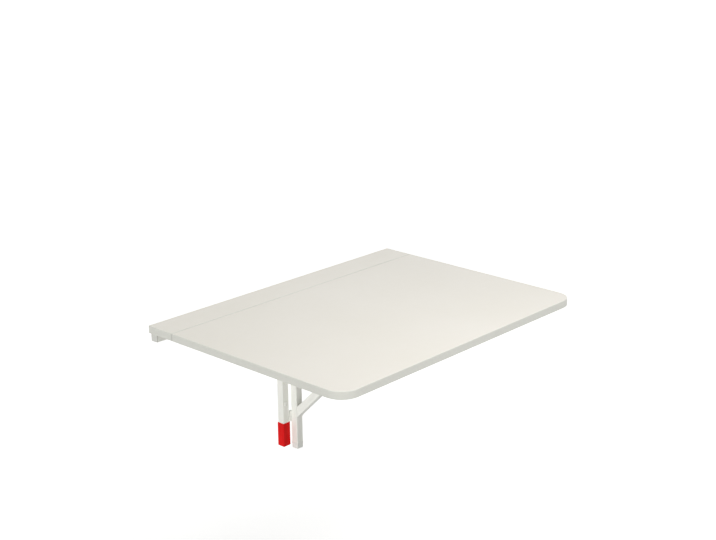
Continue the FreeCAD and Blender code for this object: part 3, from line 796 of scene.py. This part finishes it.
def add_camera():
    """The camera, turned by its yaw and pitch."""
    settings = stage_settings()
    camera = bpy.data.cameras.new("camera")
    camera.sensor_width = SENSOR_WIDTH
    camera.lens = settings.focal_length
    camera.shift_x = settings.frame_shift
    camera.clip_end = VIEW_DEPTH
    holder = placed("camera", camera)
    holder.location = settings.camera_place
    holder.rotation_euler = (math.pi / 2 - settings.camera_pitch, 0.0, -settings.camera_yaw)
    bpy.context.scene.camera = holder


def add_light(name, kind, place, target, power, color):
    """A lamp at a place, pointed at a target."""
    lamp = bpy.data.lights.new(name, kind)
    lamp.energy = power
    lamp.color = color
    holder = placed(name, lamp)
    holder.location = place
    towards = Vector(target) - Vector(place)
    holder.rotation_euler = towards.to_track_quat("-Z", "Y").to_euler()
    return lamp


def add_panel(name, place, target, size, power, color):
    """A soft square lamp."""
    lamp = add_light(name, "AREA", place, target, power, color)
    lamp.shape = "SQUARE"
    lamp.size = size


def add_sun(name, direction, spread, strength, color):
    """Even light from one direction, its spread in degrees."""
    lamp = add_light(name, "SUN", direction, (0.0, 0.0, 0.0), strength, color)
    lamp.angle = math.radians(spread)


def floor_material():
    """A pale floor that shows white to the camera, keeps shadows and is clear from below."""
    settings = stage_settings()
    recipe = Recipe("floor")
    pale = opaque(settings.floor_color)
    dull = tinted(settings.floor_color, (0.99, 0.99, 0.99))
    recipe.set(Base_Color=recipe.mixed(recipe.cloud(1.5, 3.0), dull, pale), Roughness=0.9)
    lift = recipe.maths("MULTIPLY", recipe.seen(), settings.floor_lift)
    glow = recipe.add("ShaderNodeEmission", {"Strength": lift}).outputs[0]
    lifted = recipe.add("ShaderNodeAddShader", {0: recipe.shader.outputs[0], 1: glow}).outputs[0]
    below = recipe.add("ShaderNodeNewGeometry").outputs["Backfacing"]
    clear = recipe.add("ShaderNodeBsdfTransparent").outputs[0]
    surface = recipe.add("ShaderNodeMixShader", {0: below, 1: lifted, 2: clear}).outputs[0]
    recipe.feed(recipe.nodes["Material Output"].inputs["Surface"], surface)
    return recipe.material


def add_floor():
    """A wide level floor at the table's height below its top."""
    mesh = bmesh.new()
    bmesh.ops.create_grid(mesh, x_segments=1, y_segments=1, size=FLOOR_HALF)
    level = CAD_BOX[1].z - stage_settings().table_height
    bmesh.ops.translate(mesh, verts=mesh.verts, vec=Vector((0.0, 0.0, level)))
    data = bpy.data.meshes.new("floor")
    mesh.to_mesh(data)
    mesh.free()
    data.materials.append(floor_material())
    placed("floor", data)


def set_world():
    """White where the camera or a reflection sees it, softer as light."""
    world = bpy.data.worlds.new("surroundings")
    maker = NodeMaker(world)
    background = maker.nodes["Background"].inputs
    strength = maker.ranged(maker.seen(), 0.0, 1.0, stage_settings().ambient, 1.0)
    maker.feed(background["Color"], WHITE)
    maker.feed(background["Strength"], strength)
    bpy.context.scene.world = world


class DROPLEAF_OT_set_stage(bpy.types.Operator):
    """Sets up the camera, the floor, the lamps and the surroundings"""

    bl_idname = "drop_leaf.set_stage"
    bl_label = "Set Stage"

    def execute(self, context):
        context.scene.view_settings.view_transform = "Standard"
        add_camera()
        add_floor()
        set_world()
        add_sun(
            "high_sun", direction=(0.1, -0.42, 0.90), spread=45.0,
            strength=0.95, color=(0.975, 1.0, 0.965),
        )
        add_sun(
            "left_sun", direction=(-1.0, -0.05, 0.06), spread=30.0,
            strength=2.1, color=(1.0, 1.0, 0.98),
        )
        add_sun(
            "front_sun", direction=(-0.4, -1.0, 0.1), spread=20.0,
            strength=0.54, color=(1.0, 1.0, 0.97),
        )
        add_panel(
            "front_panel", place=(-0.05, -1.2, 1.1), target=(0.0, -0.5, 0.0), size=0.8,
            power=8.2, color=(1.0, 0.975, 0.985),
        )
        return {"FINISHED"}


class DROPLEAF_PT_table(bpy.types.Panel):
    """Lists the table's pieces, finishes and stage"""

    bl_idname = "DROPLEAF_PT_table"
    bl_label = "Drop Leaf Table"
    bl_space_type = "VIEW_3D"
    bl_region_type = "UI"
    bl_category = "Drop Leaf Table"

    def draw(self, context):
        for operator in OPERATORS:
            self.layout.operator(operator.bl_idname)
        for settings in (finish_settings(), fitting_settings(), stage_settings()):
            box = self.layout.box()
            for key in settings.__annotations__:
                box.prop(settings, key)


SETTINGS = {
    "drop_leaf_finish": FinishSettings,
    "drop_leaf_fittings": FittingSettings,
    "drop_leaf_stage": StageSettings,
}
OPERATORS = (
    DROPLEAF_OT_finish_boards,
    DROPLEAF_OT_finish_bands,
    DROPLEAF_OT_finish_steel,
    DROPLEAF_OT_finish_plastics,
    DROPLEAF_OT_finish_hardware,
    DROPLEAF_OT_add_screws,
    DROPLEAF_OT_add_welds,
    DROPLEAF_OT_set_stage,
)


def register():
    for group in SETTINGS.values():
        bpy.utils.register_class(group)
    for cls in OPERATORS + (DROPLEAF_PT_table,):
        bpy.utils.register_class(cls)
    for name, group in SETTINGS.items():
        setattr(bpy.types.Scene, name, PointerProperty(type=group))


def unregister():
    for name in SETTINGS:
        delattr(bpy.types.Scene, name)
    for cls in (DROPLEAF_PT_table,) + OPERATORS[::-1]:
        bpy.utils.unregister_class(cls)
    for group in SETTINGS.values():
        bpy.utils.unregister_class(group)


def main():
    register()
    bpy.ops.drop_leaf.finish_boards()
    bpy.ops.drop_leaf.finish_bands()
    bpy.ops.drop_leaf.finish_steel()
    bpy.ops.drop_leaf.finish_plastics()
    bpy.ops.drop_leaf.finish_hardware()
    bpy.ops.drop_leaf.add_screws()
    bpy.ops.drop_leaf.add_welds()
    bpy.ops.drop_leaf.set_stage()


if __name__ == "__main__":
    main()
